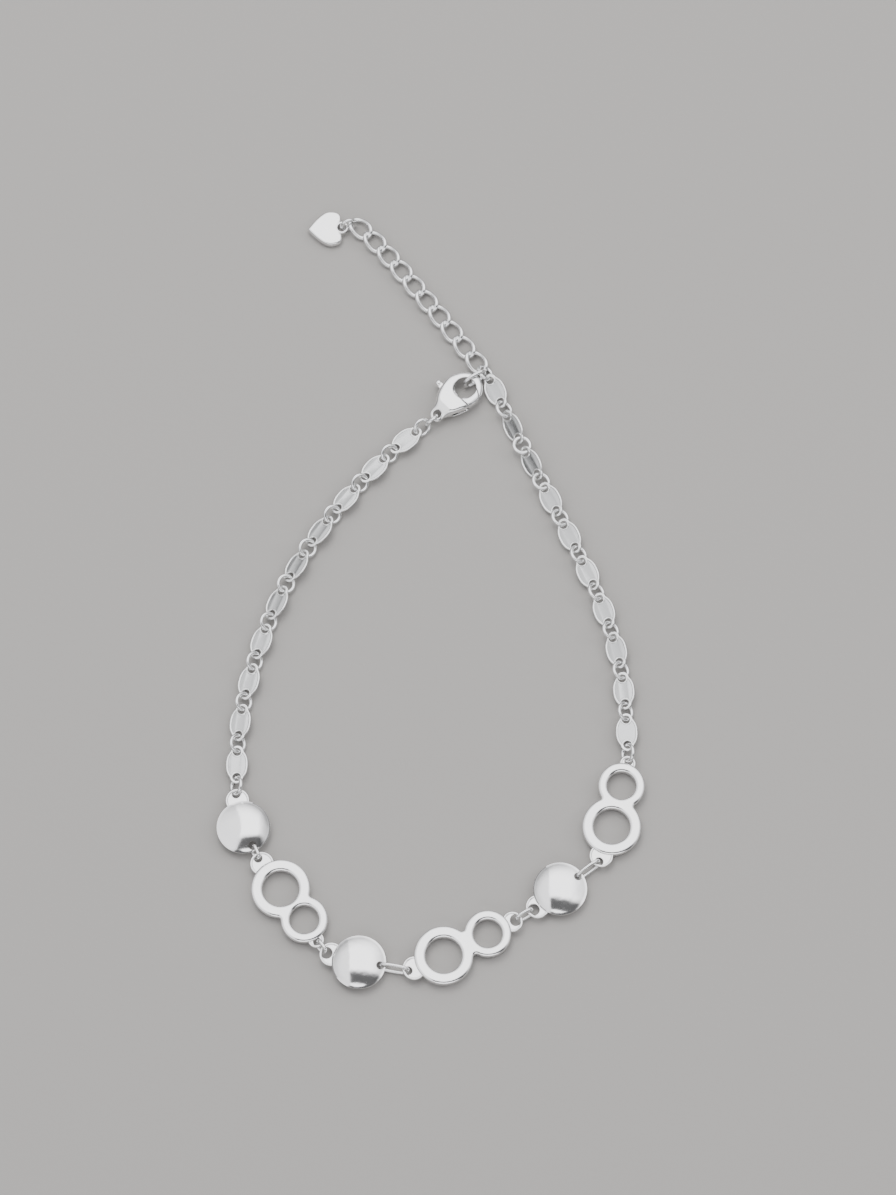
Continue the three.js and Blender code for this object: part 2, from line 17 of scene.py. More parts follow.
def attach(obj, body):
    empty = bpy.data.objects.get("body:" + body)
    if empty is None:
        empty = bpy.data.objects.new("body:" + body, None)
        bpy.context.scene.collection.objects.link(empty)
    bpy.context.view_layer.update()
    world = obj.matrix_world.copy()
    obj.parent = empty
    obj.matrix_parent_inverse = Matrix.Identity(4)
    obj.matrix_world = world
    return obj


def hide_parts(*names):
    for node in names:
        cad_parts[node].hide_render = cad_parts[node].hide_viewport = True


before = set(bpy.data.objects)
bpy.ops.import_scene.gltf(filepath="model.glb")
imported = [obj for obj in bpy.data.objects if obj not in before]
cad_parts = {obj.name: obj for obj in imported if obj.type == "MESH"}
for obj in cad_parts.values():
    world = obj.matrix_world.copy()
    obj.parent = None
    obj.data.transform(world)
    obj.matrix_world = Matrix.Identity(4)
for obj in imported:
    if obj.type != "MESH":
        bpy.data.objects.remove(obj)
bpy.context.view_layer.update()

print("nodes in the packed model:", len(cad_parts))

# %% [markdown]
# ## Units, and where the drawing sits
# The model is in metres, but jewellery is easier to describe in millimetres, so every size below is
# in millimetres and each mesh is scaled once, at the end. The castings were drawn at the places in the
# tables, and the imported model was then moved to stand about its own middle. The round foot of a disc
# tells by how much, because its points lie evenly about the middle of the disc.

# %% Units, the discs and the shift
MM = 0.001
TAU = 2 * math.pi
UNDERSIDE = 0.01

# Headings are in degrees. lean is how steeply a dome tips sideways, and eye is the kind of wire hole
# in the disc's ear
DISCS = {
    "disc_1": dict(at=(-32.14, -38.21), ear=103.3, hole=-65.1, lean=0.11, eye="small"),
    "disc_2": dict(at=(-13.88, -59.86), ear=163.3, hole=-10.2, lean=-0.05, eye="open"),
    "disc_3": dict(at=(17.54, -48.15), ear=218.6, hole=34.1, lean=-0.08, eye="open"),
}


def solid_points(node):
    """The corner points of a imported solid, each once, in millimetres."""
    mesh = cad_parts[node].data
    points = np.empty(3 * len(mesh.vertices))
    mesh.vertices.foreach_get("co", points)
    return np.unique(np.round(points.reshape(-1, 3) / MM, 4), axis=0)


foot = solid_points("disc_1")
foot_middle = foot[foot[:, 2] < UNDERSIDE].mean(axis=0)[:2]
SHIFT = Vector((*(foot_middle - DISCS["disc_1"]["at"]), 0))
print("the drawing is moved by", [round(s, 4) for s in SHIFT], "mm")

# %% [markdown]
# ## Metal finishes
# All the metal is silver plate, with three finishes: polished castings, polished wire and satin
# leaves. A metal has almost no colour of its own to work with, so the finish comes from how rough it
# is, from faint hairlines left by the polishing wheel and from the slight waviness of a small casting.
# Colours are written as the hex values seen on screen, and one function turns them into the linear
# values that the renderer works with.

# %% Colour and node helpers
def linear(hex_code):
    """A screen colour such as '#dcdee0' as the renderer's linear red, green, blue and alpha."""
    channels = [int(hex_code[i:i + 2], 16) / 255 for i in (1, 3, 5)]
    return [c / 12.92 if c <= 0.04045 else ((c + 0.055) / 1.055) ** 2.4 for c in channels] + [1.0]


def add_node(tree, kind, settings=None, links=None):
    """Adds a node. settings names properties or input values, and links says what feeds each input."""
    node = tree.nodes.new(kind)
    for key, value in (settings or {}).items():
        if key in node.inputs:
            node.inputs[key].default_value = value
        else:
            setattr(node, key, value)
    for key, source in (links or {}).items():
        tree.links.new(source, node.inputs[key])
    return node


def colours_of(sockets):
    """The colour sockets of a mix node, which has others of the same name for numbers and vectors."""
    return [socket for socket in sockets if socket.type == "RGBA"]


print("mid grey in linear values:", [round(c, 3) for c in linear("#808080")])

# %% [markdown]
# ## Silver plate
# The three finishes share one recipe. Handling dulls plate in soft clouds about 2 mm across, and a
# small casting swells a little every 1 to 2 mm. A polishing wheel leaves hairlines of about 0.01 mm.
# Those are too fine to show here, so they are drawn 26 to the millimetre and about 0.7 mm long.

# %% The silver recipe
CLOUDS_PER_MM = 0.55
SWELLS_PER_MM = 0.8
HAIRS_PER_MM = (1.4, 26, 26)


def silver(name, bright, dull, smooth, rough, wave, hairline, turn, field_shade=None):
    """Silver plate between two colours and between two roughnesses, in clouds and hairlines.

    wave and hairline are depths in millimetres, and turn is the hairlines' direction in degrees. The optional
    last colour is painted shade: a darker colour for the recessed plate inside its rim, where the mesh's
    "rim" attribute is 0.
    """
    material = bpy.data.materials.new(name)
    material.use_nodes = True
    tree = material.node_tree
    tree.nodes.clear()
    place = add_node(tree, "ShaderNodeTexCoord").outputs["Object"]
    # Coordinates in millimetres, then squeezed along one direction so that noise becomes hairlines
    in_mm = add_node(tree, "ShaderNodeMapping", {"Scale": (1 / MM, 1 / MM, 1 / MM)}, {"Vector": place})
    lines = add_node(tree, "ShaderNodeMapping",
                     {"Rotation": (0, 0, math.radians(turn)), "Scale": HAIRS_PER_MM},
                     {"Vector": in_mm.outputs["Vector"]})
    cloud = add_node(tree, "ShaderNodeTexNoise", {"Scale": CLOUDS_PER_MM, "Detail": 3.0, "Roughness": 0.5},
                     {"Vector": in_mm.outputs["Vector"]})
    scratch = add_node(tree, "ShaderNodeTexNoise", {"Scale": 1.0, "Detail": 4.0, "Roughness": 0.62},
                       {"Vector": lines.outputs["Vector"]})
    swell = add_node(tree, "ShaderNodeTexNoise", {"Scale": SWELLS_PER_MM, "Detail": 1.0},
                     {"Vector": in_mm.outputs["Vector"]})
    tint = add_node(tree, "ShaderNodeMix", {"data_type": "RGBA"}, {"Factor": cloud.outputs["Fac"]})
    for socket, colour in zip(colours_of(tint.inputs), (bright, dull)):
        socket.default_value = linear(colour)
    colour_out = colours_of(tint.outputs)[0]
    # Painted shade: where the "rim" attribute is 0, the recessed plate inside the rim takes a darker colour
    if field_shade:
        rim = add_node(tree, "ShaderNodeAttribute", {"attribute_name": "rim"}).outputs["Fac"]
        inside = add_node(tree, "ShaderNodeMix", {"data_type": "RGBA"}, {"Factor": rim})
        field_shade_socket, rim_socket = colours_of(inside.inputs)
        field_shade_socket.default_value = linear(field_shade)
        tree.links.new(colour_out, rim_socket)
        colour_out = colours_of(inside.outputs)[0]
    mixed = add_node(tree, "ShaderNodeMath", {"operation": "ADD"})
    tree.links.new(scratch.outputs["Fac"], mixed.inputs[0])
    tree.links.new(cloud.outputs["Fac"], mixed.inputs[1])
    # Two noises add up to about 1, and seldom leave 0.7 to 1.3
    roughness = add_node(tree, "ShaderNodeMapRange",
                         {"From Min": 0.7, "From Max": 1.3, "To Min": smooth, "To Max": rough},
                         {"Value": mixed.outputs[0]})
    waves = add_node(tree, "ShaderNodeBump", {"Strength": 0.6, "Distance": wave * MM},
                     {"Height": swell.outputs["Fac"]})
    fine = add_node(tree, "ShaderNodeBump", {"Strength": 0.5, "Distance": hairline * MM},
                    {"Height": scratch.outputs["Fac"], "Normal": waves.outputs["Normal"]})
    shader = add_node(tree, "ShaderNodeBsdfPrincipled", {"Metallic": 1.0}, {
        "Base Color": colour_out, "Roughness": roughness.outputs["Result"], "Normal": fine.outputs["Normal"]})
    add_node(tree, "ShaderNodeOutputMaterial", None, {"Surface": shader.outputs["BSDF"]})
    return material


# %% The three finishes
# Polished castings are close to a mirror, so the eye sees sharp bright and dark shapes on them
CASTING = silver("silver plate, polished casting", bright="#faf9f8", dull="#f1f1f2", smooth=0.06, rough=0.15,
                 wave=0.04, hairline=0.0012, turn=35)
# Drawn wire keeps fine marks of the drawing die, which soften its highlight into a line
WIRE = silver("silver plate, drawn wire", bright="#f9f9f8", dull="#ebecee", smooth=0.10, rough=0.22,
              wave=0.02, hairline=0.0018, turn=80)
# A satin stamping glows softly. The recessed plate inside its rim gets a greyer colour, which is painted
# shade
SATIN = silver("silver plate, satin stamping", bright="#f8f8f7", dull="#eceded", smooth=0.16, rough=0.30,
               wave=0.06, hairline=0.0045, turn=52, field_shade="#c2c3c3")
print("finishes:", [m.name for m in (CASTING, WIRE, SATIN)])

# %% [markdown]
# ## From points and faces to a piece of metal
# Each piece is made as a bare mesh in millimetres, cut and joined like metal at the bench.
# `finish_piece` then moves it into place, scales it to metres, smooths it, hides the solid it replaces,
# parents it to the body that it rides on and gives it its finish. Weighted normals keep flat tops flat
# beside their rounded edges.

# %% Make, cut and join
def mesh_object(name, points, faces):
    """A new object from a list of points and faces, in millimetres."""
    mesh = bpy.data.meshes.new(name)
    mesh.from_pydata([tuple(p) for p in points], [], [tuple(int(i) for i in f) for f in faces])
    mesh.validate()
    piece = bpy.data.objects.new(name, mesh)
    bpy.context.scene.collection.objects.link(piece)
    return piece


def apply_modifiers(piece):
    """Replaces the mesh by what its modifiers make of it."""
    graph = bpy.context.evaluated_depsgraph_get()
    made = bpy.data.meshes.new_from_object(piece.evaluated_get(graph))
    piece.modifiers.clear()
    piece.data = made


def cut(piece, *tools, keep="DIFFERENCE"):
    """Takes the tools out of a piece, or with INTERSECT keeps what they share with it, and removes them."""
    for tool in tools:
        cutter = piece.modifiers.new("cut", "BOOLEAN")
        cutter.object = tool
        cutter.operation = keep
        cutter.solver = "EXACT"
    apply_modifiers(piece)
    for tool in tools:
        bpy.data.objects.remove(tool)
    return piece


def join(name, pieces):
    """One object from several."""
    whole = bmesh.new()
    for part in pieces:
        whole.from_mesh(part.data)
        bpy.data.objects.remove(part)
    mesh = bpy.data.meshes.new(name)
    whole.to_mesh(mesh)
    whole.free()
    joined = bpy.data.objects.new(name, mesh)
    bpy.context.scene.collection.objects.link(joined)
    return joined


# %% Hand a piece to the frame
def finish_piece(piece, node, material, place=Matrix.Identity(4), body="anklet", sharp=32):
    """Places, scales and smooths a piece, gives it its metal, and hides the solid that it stands for."""
    piece.data.transform(Matrix.Scale(MM, 4) @ place)
    piece.data.polygons.foreach_set("use_smooth", [True] * len(piece.data.polygons))
    piece.data.set_sharp_from_angle(angle=math.radians(sharp))
    weights = piece.modifiers.new("flat tops", "WEIGHTED_NORMAL")
    weights.keep_sharp = True
    piece.data.materials.clear()
    piece.data.materials.append(material)
    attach(piece, body)
    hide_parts(node)
    return piece


# %% [markdown]
# ## Plates, wires and turned pieces
# Three shapes make most of the anklet. A plate is cut to an outline with its edges rounded, a wire
# follows a line, and a turned piece comes off a lathe. Meshes made from a formula keep every edge as
# round and as even as wanted, which primitives with a bevel on top don't.

# %% Plates
def rounded_plate(name, loops, profile):
    """A plate cut to closed loops. The outline runs counter-clockwise and holes run clockwise.

    profile lists (how far in from the edge, height), from the edge of the top face down to the bottom one.
    """
    points, faces, tops, bottoms = [], [], [], []
    for loop in loops:
        flat = np.array(loop, dtype=float)
        ahead = np.roll(flat, -1, axis=0) - np.roll(flat, 1, axis=0)
        ahead /= np.linalg.norm(ahead, axis=1)[:, None]
        inward = np.stack([-ahead[:, 1], ahead[:, 0]], axis=1)
        count, start = len(flat), len(points)
        for inset, height in profile:
            points += [(x, y, height) for x, y in flat + inset * inward]
        for level in range(len(profile) - 1):
            for i in range(count):
                a = start + level * count + i
                b = start + level * count + (i + 1) % count
                faces.append((a, a + count, b + count, b))
        tops.append(range(start, start + count))
        last = start + (len(profile) - 1) * count
        bottoms.append(range(last, last + count))
    for rows, flip in ((tops, False), (bottoms, True)):
        order = [i for row in rows for i in row]
        for triangle in tessellate_polygon([[Vector(points[i]) for i in row] for row in rows]):
            corners = [order[i] for i in triangle]
            a, b, c = (Vector(points[i]) for i in corners)
            upward = (b - a).cross(c - a).z > 0
            faces.append(corners if upward != flip else corners[::-1])
    return mesh_object(name, points, faces)


def rounded_edge(low, high, radius, steps=5):
    """A plate's edge profile, rounded at the top and at the bottom."""
    turns = [i / steps * math.pi / 2 for i in range(steps + 1)]
    top = [(radius * (1 - math.sin(t)), high - radius * (1 - math.cos(t))) for t in turns]
    return top + [(inset, low + high - height) for inset, height in reversed(top)]


print("points down a rounded edge:", len(rounded_edge(0, 1, 0.2)))

# %% Wires
def tube(name, middle, wire, sides=16, closed=True, flatten=1.0):
    """A round wire along a row of points. flatten squeezes its height."""
    middle = np.array(middle, dtype=float)
    if closed:
        ahead = np.roll(middle, -1, axis=0) - np.roll(middle, 1, axis=0)
    else:
        ahead = np.gradient(middle, axis=0)
    ahead /= np.linalg.norm(ahead, axis=1)[:, None]
    outward = np.cross(ahead, (0, 0, 1))
    outward /= np.linalg.norm(outward, axis=1)[:, None]
    upward = np.cross(outward, ahead)
    angles = np.arange(sides) / sides * TAU
    rounds = (outward[:, None] * np.cos(angles)[None, :, None]
              + upward[:, None] * np.sin(angles)[None, :, None] * flatten)
    points = (middle[:, None] + wire * rounds).reshape(-1, 3)
    count = len(middle)
    faces = []
    for i in range(count if closed else count - 1):
        for j in range(sides):
            a, b = i * sides, (i + 1) % count * sides
            k = (j + 1) % sides
            faces.append((a + j, b + j, b + k, a + k))
    if not closed:
        faces += [tuple(range(sides))[::-1], tuple(range((count - 1) * sides, count * sides))]
    return mesh_object(name, points, faces)


# %% Turned pieces and round cutters
def lathe(name, profile, sides=96):
    """Turns a row of (radius, height) about the upright axis. It starts and ends on the axis."""
    points = [(0, 0, profile[0][1]), (0, 0, profile[-1][1])]
    faces = []
    rings = profile[1:-1]
    for radius, height in rings:
        points += [(radius * math.cos(i / sides * TAU), radius * math.sin(i / sides * TAU), height)
                   for i in range(sides)]
    for i in range(sides):
        k = (i + 1) % sides
        faces.append((0, 2 + k, 2 + i))
        for level in range(len(rings) - 1):
            a, b = 2 + level * sides, 2 + (level + 1) * sides
            faces.append((a + i, a + k, b + k, b + i))
        last = 2 + (len(rings) - 1) * sides
        faces.append((1, last + i, last + k))
    return mesh_object(name, points, faces)


def drill(radius, at=(0, 0), flare=0.0, half=3.0, sides=48):
    """A round cutter through the middle height. flare widens it by that much above and below `half`."""
    profile = [(0, -half), (radius + flare, -half), (radius, -half / 2),
               (radius, half / 2), (radius + flare, half), (0, half)]
    tool = lathe("drill", profile, sides)
    tool.data.transform(Matrix.Translation((*at, 0)))
    return tool


# %% Circles and headings
def circle(radius, at=(0, 0), steps=48, hole=False):
    """A circle's points, clockwise for a hole."""
    turn = -1 if hole else 1
    angles = [turn * i / steps * TAU for i in range(steps)]
    return [(at[0] + radius * math.cos(angle), at[1] + radius * math.sin(angle)) for angle in angles]


def along(at, heading, distance):
    """The point at a distance from another along a heading in degrees."""
    angle = math.radians(heading)
    return (at[0] + distance * math.cos(angle), at[1] + distance * math.sin(angle))


print("2 mm along a heading of 90 degrees:", [round(c, 3) for c in along((0, 0), 90, 2)])

# %% [markdown]
# ## Where each link lies
# Every small link is the same shape, turned a different way. Its solid tells us how: the spread of its
# points is longest along the link, shorter across it and shortest through it. Those three directions
# are the eigenvectors of the points' covariance.

# %% Read a link's place
def link_place(node):
    """A link's place as a matrix, in millimetres, and its half sizes along its own three directions."""
    points = solid_points(node)
    middle = points.mean(axis=0)
    spread, axes = np.linalg.eigh(np.cov((points - middle).T))
    through, across, along_it = axes.T
    if through[2] < 0:
        through = -through
    # A round ring is as long as it is wide, so any direction in its plane will do
    if spread[2] - spread[1] < 0.01 * spread[2]:
        along_it = np.cross((1.0, 0.0, 0.0), through)
        along_it /= np.linalg.norm(along_it)
    across = np.cross(through, along_it)
    half = [np.abs((points - middle) @ direction).max() for direction in (along_it, across, through)]
    place = Matrix([[along_it[i], across[i], through[i], middle[i]] for i in range(3)] + [[0, 0, 0, 1]])
    return place, half


print("first leaf: half sizes", [round(float(h), 2) for h in link_place("left_leaf_1")[1]], "mm")

# %% [markdown]
# ## Wire links
# A ring is one round wire bent to an oval. The links between the castings are squarer, which a
# superellipse describes: its power grows from 2 for an oval. Jump rings keep the fine slit where
# pliers closed them.

# %% Ovals and even spacing
RING_WIRE = 0.3
CONNECTOR_WIRE = 0.26
SQUARENESS = 3
SLIT = 0.05
JUMP_RINGS = {"end_ring": 0.3, "tag_ring": 0.29, "clasp_ring": 0.28}
SQUARE_LINKS = {"fastening_link": 0.28}


def oval(half_length, half_width, squareness=2, steps=72, slit=0.0):
    """Points round an oval, open by an angle of `slit` radians at its far end."""
    turns = np.linspace(slit / 2, TAU - slit / 2, steps, endpoint=slit > 0)
    c, s = np.cos(turns), np.sin(turns)
    power = 2 / squareness
    return np.stack([half_length * np.sign(c) * np.abs(c) ** power,
                     half_width * np.sign(s) * np.abs(s) ** power, np.zeros(len(turns))], axis=1)


def even(points, steps, closed=True):
    """The same line with its points an even distance apart."""
    line = np.vstack([points, points[:1]]) if closed else np.array(points)
    run = np.concatenate([[0], np.cumsum(np.linalg.norm(np.diff(line, axis=0), axis=1))])
    at = np.linspace(0, run[-1], steps, endpoint=not closed)
    return np.stack([np.interp(at, run, values) for values in line.T], axis=1)


print("points round an oval:", len(oval(2, 1)))

# %% Wire rings and links
wire_nodes = [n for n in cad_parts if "_ring_" in n and "double" not in n]
wire_nodes += [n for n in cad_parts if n.startswith("connector")] + list(SQUARE_LINKS) + list(JUMP_RINGS)
for node in wire_nodes:
    place, half = link_place(node)
    if node in JUMP_RINGS:
        wire = JUMP_RINGS[node]
        piece = tube(f"{node}_wire", oval(half[0] - wire, half[1] - wire, slit=SLIT), wire, closed=False)
    elif node.startswith("connector") or node in SQUARE_LINKS:
        wire = SQUARE_LINKS.get(node, CONNECTOR_WIRE)
        path = even(oval(half[0] - wire, half[1] - wire, SQUARENESS, steps=720), 80)
        piece = tube(f"{node}_wire", path, wire)
    else:
        piece = tube(f"{node}_wire", oval(half[0] - RING_WIRE, half[1] - RING_WIRE), RING_WIRE)
    finish_piece(piece, node, WIRE, place, sharp=60)
print("wire links:", len(wire_nodes))

# %% [markdown]
# ## Leaf links
# A leaf is a thin stamped plate with a raised rim that catches the light as a bright line. The rim is
# a flattened bead that follows the outline, and another goes round each eye. The mesh remembers which
# points belong to a bead, so that the satin finish can paint a darker shade on the recessed plate between
# them.

# %% Leaf outline
LEAF = {"reach": 2.05, "half_width": 1.75, "tip": 1.08, "eye": 0.62, "fullness": 2.6,
        "half_thick": 0.1, "edge": 0.06, "bead": 0.2, "eye_bead": 0.15, "eye_bead_height": 1.3}


def leaf_outline(inset=0.0, side_steps=28, tip_steps=12):
    """The leaf's outline, counter-clockwise, or a line that lies inside it."""
    reach, tip = LEAF["reach"], LEAF["tip"]
    round_end = tip - inset
    points = []
    for side in (1, -1):
        for i in range(1, side_steps):
            x = reach * (1 - 2 * i / side_steps)
            swell = 1 - (abs(x) / reach) ** LEAF["fullness"]
            points.append((side * x, side * (tip + (LEAF["half_width"] - tip) * swell - inset)))
        for i in range(tip_steps + 1):
            angle = math.pi / 2 + i / tip_steps * math.pi
            points.append((side * (-reach + round_end * math.cos(angle)), side * round_end * math.sin(angle)))
    return points


print("points round a leaf:", len(leaf_outline()))

# %% Leaves
def leaf_mesh(name):
    """One leaf: plate, rim bead and a bead round each eye."""
    bead, eye_bead = LEAF["bead"], LEAF["eye_bead"]
    ends = [(end * LEAF["reach"], 0) for end in (1, -1)]
    holes = [circle(LEAF["eye"], end, steps=28, hole=True) for end in ends]
    edge = rounded_edge(-LEAF["half_thick"], LEAF["half_thick"], LEAF["edge"], steps=3)
    plate = rounded_plate("plate", [leaf_outline()] + holes, edge)
    rim_line = np.array([(x, y, 0) for x, y in leaf_outline(bead)])
    rim = tube("rim", even(rim_line, 110), bead, sides=12)
    eyes = [tube("eye", [(x, y, 0) for x, y in circle(LEAF["eye"] + eye_bead, end, steps=36)], eye_bead,
                 sides=10, flatten=LEAF["eye_bead_height"]) for end in ends]
    flat_points = len(plate.data.vertices)
    leaf = join(name, [plate, rim] + eyes)
    # Points on a bead get 1 and the plate gets 0, where the satin finish paints a darker shade
    on_rim = np.arange(len(leaf.data.vertices)) >= flat_points
    leaf.data.attributes.new("rim", "FLOAT", "POINT").data.foreach_set("value", on_rim.astype(np.float32))
    return leaf


leaf_nodes = [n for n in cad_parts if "_leaf_" in n]
for node in leaf_nodes:
    finish_piece(leaf_mesh(f"{node}_plate"), node, SATIN, link_place(node)[0])
print("leaves:", len(leaf_nodes))

# %% [markdown]
# ## Extension chain
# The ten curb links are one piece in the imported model, so their places are worked out instead, the
# way that the chain was laid: evenly along a smooth line from the tag's side to the end ring. Every
# link is a little longer than its share of that line, because it reaches through its neighbours.

# %% Lay out the chain
# overlap is how far neighbours press past each other's wire, and end_share is the part of a pitch that
# the end links need beyond their own
CURB = {"links": 10, "half_width": 1.34, "wire": 0.36, "twist": 0.42, "z": 0.98, "overlap": 0.1, "gap": 0.11,
        "end_share": 0.2, "route": [(-15.6, 64.1), (-12.4, 61.2), (-3.5, 50.4)]}
END_RING = {"at": (6.05, 37.75), "radius": 1.3, "heading": -58}
TAG_RING = {"radius": 1.15, "heading": 20}


def heading_to(start, end):
    """The heading in degrees from one point to another."""
    return math.degrees(math.atan2(end[1] - start[1], end[0] - start[0]))


def flowing_line(corners, steps=200):
    """A smooth open line through the corners, with knots by the root of their distance (Catmull-Rom)."""
    p = np.array(corners, dtype=float)
    p = np.vstack([2 * p[0] - p[1], p, 2 * p[-1] - p[-2]])
    knots = np.sqrt(np.linalg.norm(np.diff(p, axis=0), axis=1))
    rows = []
    for t in np.linspace(0, len(corners) - 1, steps + 1):
        i = min(int(t), len(corners) - 2)
        t -= i
        a, b, c = knots[i:i + 3]
        before, start, end, after = p[i:i + 4]
        leaving = b * ((start - before) / a - (end - before) / (a + b)) + end - start
        arriving = b * ((after - end) / c - (after - start) / (b + c)) + end - start
        rows.append(start + leaving * t + (3 * (end - start) - 2 * leaving - arriving) * t ** 2
                    + (2 * (start - end) + leaving + arriving) * t ** 3)
    return np.array(rows)


seat = CURB["wire"] + JUMP_RINGS["end_ring"] + 2 * CURB["gap"]
last_end = along(END_RING["at"], END_RING["heading"], seat - END_RING["radius"])
pitch = math.dist(CURB["route"][0], last_end) / (CURB["links"] + CURB["end_share"])
half_length = pitch / 2 + CURB["wire"] - CURB["overlap"] / 2
spare = half_length - pitch / 2
line_end = along(last_end, heading_to(CURB["route"][-1], last_end), -spare)
joints = even(flowing_line(CURB["route"] + [line_end]), CURB["links"] + 1, closed=False)
print("curb link: half length", round(half_length, 3), "mm, pitch", round(pitch, 3), "mm")

# %% [markdown]
# A curb link is an oval given a slight twist, so that each one can pass over and under its
# neighbours while all of them lie flat.

# %% Curb chain
turns = np.arange(64) / 64 * TAU
curb_line = np.stack([half_length * np.cos(turns), CURB["half_width"] * np.sin(turns),
                      CURB["twist"] * np.sin(2 * turns)], axis=1)
links = []
for start, end in zip(joints, joints[1:]):
    link = tube("link", curb_line, CURB["wire"], sides=14)
    link.data.transform(Matrix.Translation(SHIFT + Vector((*(start + end) / 2, CURB["z"])))
                        @ Matrix.Rotation(math.radians(heading_to(start, end)), 4, "Z"))
    links.append(link)
print("curb links:", len(links))
finish_piece(join("extension_links", links), "extension_chain", WIRE, sharp=60)

# %% [markdown]
# ## Ears
# The castings carry small ears for the wire links: a shallow cup with a raised rim and one hole in
# its floor. A low plate and a bead round its edge make one. The hole sits a little off the middle,
# where the link pulls.

# %% Ears
EAR = {"low": 1.05, "inset": 0.06, "recess": 0.16, "edge": 0.12, "bead": 0.21}
# The wire hole of an ear: its radius, and how much nearer to the casting it sits than the ear's row says
EYES = {"small": (0.64, 0.0), "open": (0.9, 0.26)}


def ear_cup(name, root, heading, at, radius, hole_at, top, eye):
    """An ear on a casting. Its middle and its hole lie at two distances from the casting's middle."""
    hole, nearer = EYES[eye]
    middle = along(root, heading, at)
    loops = [circle(radius - EAR["inset"], middle),
             circle(hole, along(root, heading, hole_at - nearer), steps=32, hole=True)]
    plate = rounded_plate("cup", loops, rounded_edge(EAR["low"], top - EAR["recess"], EAR["edge"]))
    bead = EAR["bead"]
    rim_line = [(x, y, top - bead) for x, y in circle(radius - bead, middle, steps=56)]
    return join(name, [plate, tube("rim", rim_line, bead, sides=14)])


print("ear holes:", {kind: 2 * size[0] for kind, size in EYES.items()}, "mm across")

# %% [markdown]
# ## Domed discs
# Each disc is turned on a lathe: a small foot, a thin rounded rim and a shallow polished dome. A hole is
# then cut through its edge for the wire link, and a flat ear is set under the other side.

# %% Disc profile
DISC = {"radius": 4.25, "rim_z": 1.5, "dome": 1.25, "foot": 1.8, "waist": 3.3, "waist_z": 1.0,
        "ear_at": 4.5, "ear": 1.9, "ear_hole_at": 5.55, "rim_hole_at": 3.4}


def disc_profile(dome_steps=24):
    """The disc's half outline, from the bottom of its foot to the top of its dome."""
    radius, dome, rim_z = DISC["radius"], DISC["dome"], DISC["rim_z"]
    foot = [(0, 0), (DISC["foot"] - 0.15, 0), (DISC["foot"], 0.08)]
    underside = [(DISC["waist"], DISC["waist_z"]), (radius - 0.16, rim_z - 0.2)]
    rim = [(radius - 0.03, rim_z - 0.12), (radius, rim_z), (radius - 0.04, rim_z + 0.07)]
    sphere = (radius ** 2 + dome ** 2) / (2 * dome)
    radii = [(radius - 0.1) * (1 - i / dome_steps) for i in range(1, dome_steps + 1)]
    top = [(r, rim_z + math.sqrt(sphere ** 2 - r ** 2) - (sphere - dome)) for r in radii]
    return foot + underside + rim + top


print("disc height:", round(disc_profile()[-1][1], 2), "mm")

# %% Discs
for node, row in DISCS.items():
    body = lathe("dome", disc_profile())
    # Each dome leans a little to one side, so each mirrors its surroundings differently
    for vertex in body.data.vertices:
        x, y, z = vertex.co
        inner = 1 - (x * x + y * y) / DISC["radius"] ** 2
        if z > DISC["rim_z"] and inner > 0:
            vertex.co.z += row["lean"] * x * inner
    cut(body, drill(EYES["small"][0], along((0, 0), row["hole"], DISC["rim_hole_at"]), half=4))
    ear = ear_cup("ear", (0, 0), row["ear"], DISC["ear_at"], DISC["ear"], DISC["ear_hole_at"], DISC["rim_z"],
                  row["eye"])
    finish_piece(join(f"{node}_dome", [body, ear]), node, CASTING,
                 Matrix.Translation(SHIFT + Vector((*row["at"], 0))), sharp=35)
print("discs:", len(DISCS))

# %% [markdown]
# ## Double rings
# A large and a small flat ring are cast as one. Their outlines are two circles joined by small
# fillets, as metal flows into the corner of a mould. A narrow bevel outlines every edge.

# %% Double ring outline
DOUBLE = {"large": 4.65, "large_hole": 2.85, "small": 3.7, "small_hole": 2.25, "thick": 1.9, "fillet": 0.45,
          "ear_at": 5.0, "ear": 1.9, "ear_hole_at": 6.05, "ear_top": 1.65}
# A tail is the ear on the small ring, and its distances count from that ring's middle
DOUBLES = {
    "double_ring_1": dict(at=(-26.21, -48.11), heading=-52.8, spacing=6.2, ear=126.4,
                          tail=dict(heading=-60, at=3.75, radius=1.28, hole_at=4.15, eye="small")),
    "double_ring_2": dict(at=(-0.67, -58.77), heading=26.8, spacing=7.7, ear=203.9,
                          tail=dict(heading=26, at=4.3, radius=1.65, hole_at=5.15, eye="open")),
    "double_ring_3": dict(at=(25.74, -38.08), heading=76.3, spacing=6.8, ear=250.3,
                          tail=dict(heading=74.2, at=3.75, radius=1.28, hole_at=4.15, eye="small")),
}


def figure_eight(radius_a, radius_b, spacing, fillet):
    """Two circles along +X and the fillets between them, as one counter-clockwise outline."""
    a, b = radius_a + fillet, radius_b + fillet
    fx = (spacing ** 2 + a ** 2 - b ** 2) / (2 * spacing)
    fy = math.sqrt(a ** 2 - fx ** 2)
    angle_a = math.atan2(fy, fx)
    angle_b = math.atan2(fy, fx - spacing)

    def arc(centre, radius, start, end, steps):
        turns = [start + (end - start) * i / steps for i in range(steps + 1)]
        return [along(centre, math.degrees(turn), radius) for turn in turns]

    points = arc((spacing, 0), radius_b, -angle_b, angle_b, 56)
    points += arc((fx, fy), fillet, angle_b - math.pi, angle_a - math.pi, 8)[1:]
    points += arc((0, 0), radius_a, angle_a, TAU - angle_a, 72)[1:]
    points += arc((fx, -fy), fillet, math.pi - angle_a, math.pi - angle_b, 8)[1:-1]
    return points


print("double ring lengths:", [round(DOUBLE["large"] + row["spacing"] + DOUBLE["small"], 2)
                                for row in DOUBLES.values()], "mm")

# %% Double rings
top = DOUBLE["thick"]
